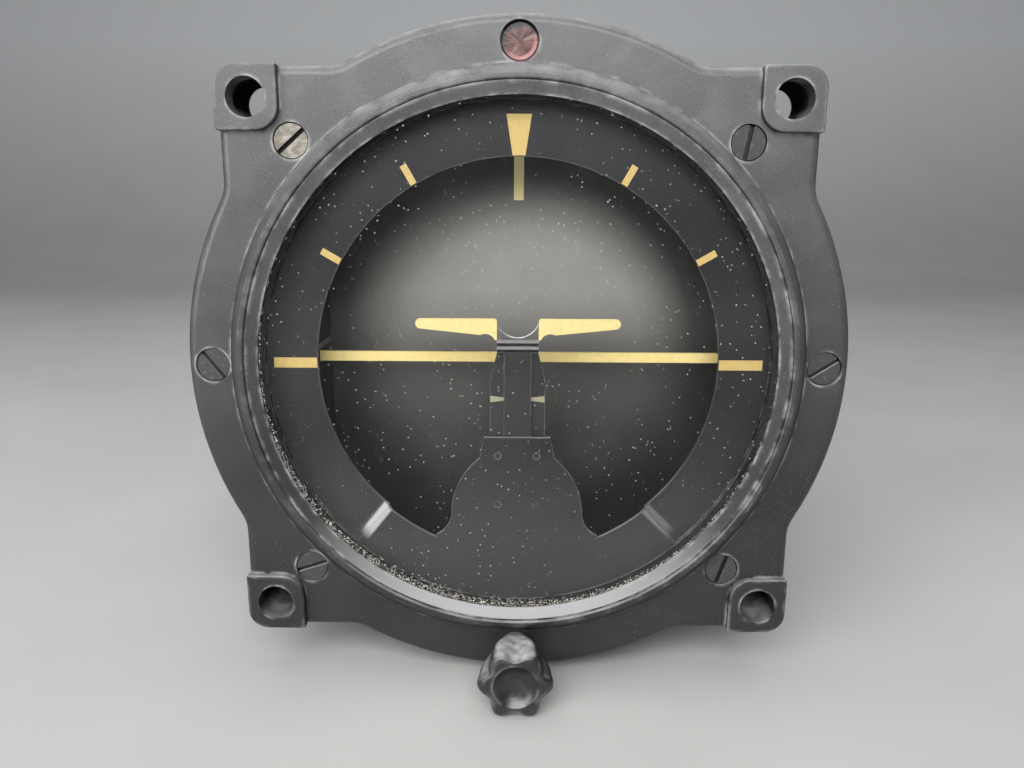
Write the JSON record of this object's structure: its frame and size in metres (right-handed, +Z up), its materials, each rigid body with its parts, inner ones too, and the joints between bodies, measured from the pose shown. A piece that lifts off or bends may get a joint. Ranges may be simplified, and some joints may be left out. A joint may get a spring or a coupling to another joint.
{
  "type": "gyro horizon indicator",
  "caption": "Panel-mounted vacuum gyro horizon: round eared bezel, bank scale, horizon bar, miniature aeroplane with adjusting knob, and an air-driven rotor in gimbals.",
  "frame": {"origin": "centre of the square panel bolt pattern, in the front plane of the ear pads", "axes": "+X to the right as seen by the pilot, +Y into the instrument away from the pilot, +Z up; the dial faces -Y"},
  "size_m": [0.128, 0.192, 0.1297],
  "materials": {
    "arm_aluminium": "matt black paint",
    "bar_cream": "matt luminous paint",
    "bezel_enamel": "semi-matt black crackle-free enamel on a casting",
    "black_rubber": "matt",
    "blackened_steel": "painted over",
    "bracket_aluminium": "as cast",
    "bracket_steel": "blackened",
    "bushing_brass": "plain",
    "case_enamel": "semi-matt black enamel on a casting",
    "clear_glass": "clear",
    "cover_enamel": "semi-matt black enamel",
    "cover_steel": "blackened",
    "cream_mark": "matt luminous paint",
    "cream_paint": "matt luminous paint",
    "dark_steel": "blackened",
    "dial_black": "matt black paint on sheet",
    "dial_stud": "blackened",
    "erection_aluminium": "machined",
    "filter_felt": "felt",
    "gasket_paper": "oiled fibre",
    "gear_brass": "plain",
    "gimbal_aluminium": "as cast",
    "housing_aluminium": "machined",
    "knob_plastic": "glossy phenolic",
    "nipple_brass": "dull",
    "pin_steel": "ground",
    "pivot_steel": "ground",
    "plug_steel": "blackened",
    "pointer_cream": "matt luminous paint",
    "race_steel": "ground",
    "rack_brass": "plain",
    "red_lacquer": "glossy sealing lacquer",
    "ring_enamel": "black enamel",
    "rotor_brass": "machined",
    "screen_brass": "dull",
    "seal_steel": "painted over",
    "set_screw_steel": "blackened",
    "shaft_steel": "ground",
    "sky_paint": "matt dark grey paint on sheet",
    "slider_black": "matt black paint on sheet",
    "small_steel": "plain",
    "spring_steel": "plain",
    "stud_steel": "plain",
    "tower_black": "matt black paint on sheet",
    "trunnion_steel": "ground",
    "vane_steel": "plain",
    "weight_brass": "plain",
    "wing_cream": "matt luminous paint",
    "wire_steel": "plain"
  },
  "bodies": {
    "instrument": {"front_bezel": "bezel_enamel", "retaining_ring": "ring_enamel", "cover_glass": "clear_glass", "glass_gasket": "black_rubber", "dial_mask": "dial_black", "dial_markings": "cream_paint", "mask_screws": "dark_steel", "guide_studs": "dial_stud", "airplane_tower": "tower_black", "index_marks": "cream_mark", "bezel_screws": "blackened_steel", "seal_screw": "seal_steel", "seal_lacquer": "red_lacquer", "knob_bushing": "bushing_brass", "idler_stud": "stud_steel", "case_gasket": "gasket_paper", "case_body": "case_enamel", "bearing_bracket": "bracket_aluminium", "bracket_screws": "bracket_steel", "front_race": "race_steel", "rear_race": "race_steel", "rear_cover": "cover_enamel", "cover_gasket": "gasket_paper", "cover_screws": "cover_steel", "filter_pad": "filter_felt", "filter_screen": "screen_brass", "snap_ring": "spring_steel", "vacuum_nipple": "nipple_brass", "port_plug": "plug_steel"},
    "knob": {"adjusting_knob": "knob_plastic", "knob_set_screw": "set_screw_steel", "knob_shaft": "shaft_steel"},
    "idler": {"idler_gear": "gear_brass"},
    "airplane": {"airplane_slider": "slider_black", "slider_rack": "rack_brass", "airplane_wings": "wing_cream", "fuselage_wire": "wire_steel"},
    "gimbal": {"gimbal_frame": "gimbal_aluminium", "front_trunnion": "trunnion_steel", "rear_trunnion": "trunnion_steel", "sky_plate": "sky_paint", "bank_pointer": "pointer_cream", "pitch_races": "race_steel", "bar_pivot_pin": "pin_steel", "balance_weight": "weight_brass"},
    "bar_arm": {"horizon_arm": "arm_aluminium", "horizon_bar": "bar_cream", "arm_counterweight": "weight_brass"},
    "rotor_case": {"rotor_housing": "housing_aluminium", "housing_cover": "housing_aluminium", "housing_screws": "small_steel", "pitch_pivots": "pivot_steel", "guide_pin": "pin_steel", "erection_housing": "erection_aluminium"},
    "rotor_body": {"rotor": "rotor_brass"},
    "cross_vane_pair": {"cross_vanes": "vane_steel"},
    "fore_aft_vane_pair": {"fore_aft_vanes": "vane_steel"}
  },
  "joints": [
    {"name": "knob_turn", "type": "hinge", "parent": "instrument", "child": "knob", "pos_m": [0, 0, -0.05907], "axis": [0, 1, 0], "range_deg": [-80.3, 80.3]},
    {"name": "idler_turn", "type": "hinge", "parent": "instrument", "child": "idler", "pos_m": [0, 0, -0.05107], "axis": [0, 1, 0], "range_deg": [-36.5, 36.5]},
    {"name": "airplane_slide", "type": "slide", "parent": "instrument", "child": "airplane", "axis": [0, 0, 1], "range_m": [-0.0035, 0.0035]},
    {"name": "bank", "type": "hinge", "parent": "instrument", "child": "gimbal", "pos_m": [0, 0.084, 0], "axis": [0, 1, 0], "range_deg": [-100, 100]},
    {"name": "pitch", "type": "hinge", "parent": "gimbal", "child": "rotor_case", "pos_m": [0, 0.084, 0], "axis": [1, 0, 0], "range_deg": [-60, 60]},
    {"name": "bar_swing", "type": "hinge", "parent": "gimbal", "child": "bar_arm", "pos_m": [0, 0.12, 0], "axis": [1, 0, 0], "range_deg": [-12.5, 12.5]},
    {"name": "rotor_spin", "type": "hinge", "parent": "rotor_case", "child": "rotor_body", "pos_m": [0, 0.084, 0], "axis": [0, 0, 1], "continuous": true},
    {"name": "cross_vane_swing", "type": "hinge", "parent": "rotor_case", "child": "cross_vane_pair", "pos_m": [0, 0.084, -0.022], "axis": [1, 0, 0], "range_deg": [-20, 20]},
    {"name": "fore_aft_vane_swing", "type": "hinge", "parent": "rotor_case", "child": "fore_aft_vane_pair", "pos_m": [0, 0.084, -0.0265], "axis": [0, 1, 0], "range_deg": [-20, 20]}
  ],
  "couplings": [
    {"joint": "knob_turn", "follows": "airplane_slide", "rad_per_m": -400},
    {"joint": "idler_turn", "follows": "airplane_slide", "rad_per_m": 181.82},
    {"joint": "bar_swing", "follows": "pitch", "ratio": 0.205}
  ]
}
